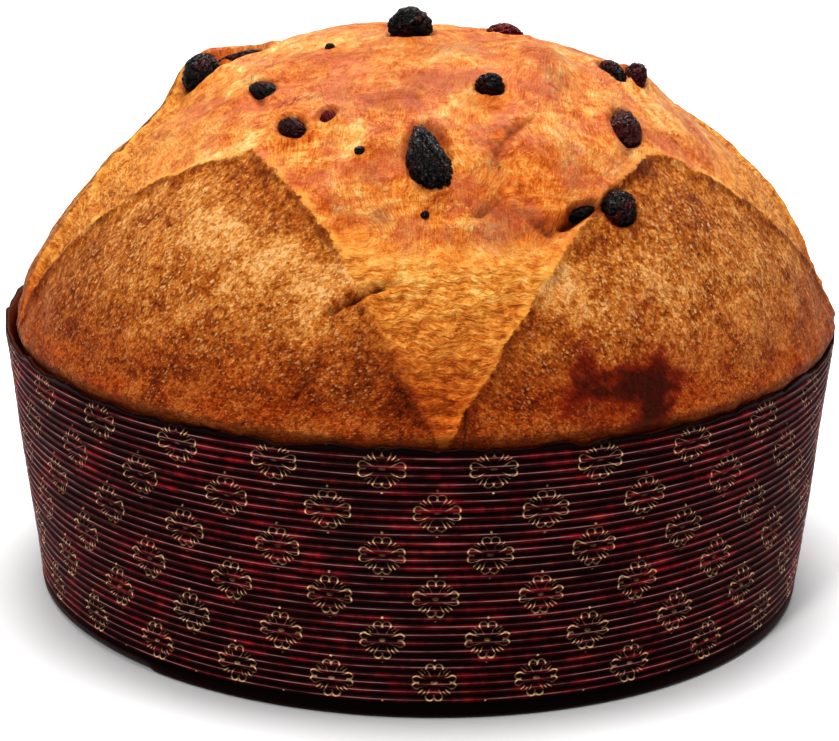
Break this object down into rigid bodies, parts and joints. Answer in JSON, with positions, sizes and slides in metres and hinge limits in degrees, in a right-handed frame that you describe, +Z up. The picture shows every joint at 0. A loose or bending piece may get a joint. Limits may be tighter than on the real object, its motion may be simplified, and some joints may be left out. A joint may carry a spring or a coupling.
{
  "type": "panettone",
  "caption": "Low round sweet loaf with a cross-scored domed crust set with raisins, baked in a tapered, ribbed paper mould that it stands in.",
  "frame": {"origin": "middle of the flat foot of the paper mould, on the surface that the loaf stands on", "axes": "+Z up; -Y is the front, where the widest-open arm of the scored cross runs down to the rim"},
  "size_m": [0.215, 0.2166, 0.1504],
  "materials": {
    "crust": "satin",
    "mould_paper": "satin",
    "raisin": "gloss"
  },
  "bodies": {
    "root": {"paper_mould": "mould_paper", "bread": "crust", "raisin_01": "raisin", "raisin_02": "raisin", "raisin_03": "raisin", "raisin_04": "raisin", "raisin_05": "raisin", "raisin_06": "raisin", "raisin_07": "raisin", "raisin_08": "raisin", "raisin_09": "raisin", "raisin_10": "raisin", "raisin_11": "raisin", "raisin_12": "raisin", "raisin_13": "raisin", "raisin_14": "raisin", "raisin_15": "raisin", "raisin_16": "raisin", "raisin_17": "raisin", "raisin_18": "raisin", "raisin_19": "raisin"}
  },
  "joints": []
}
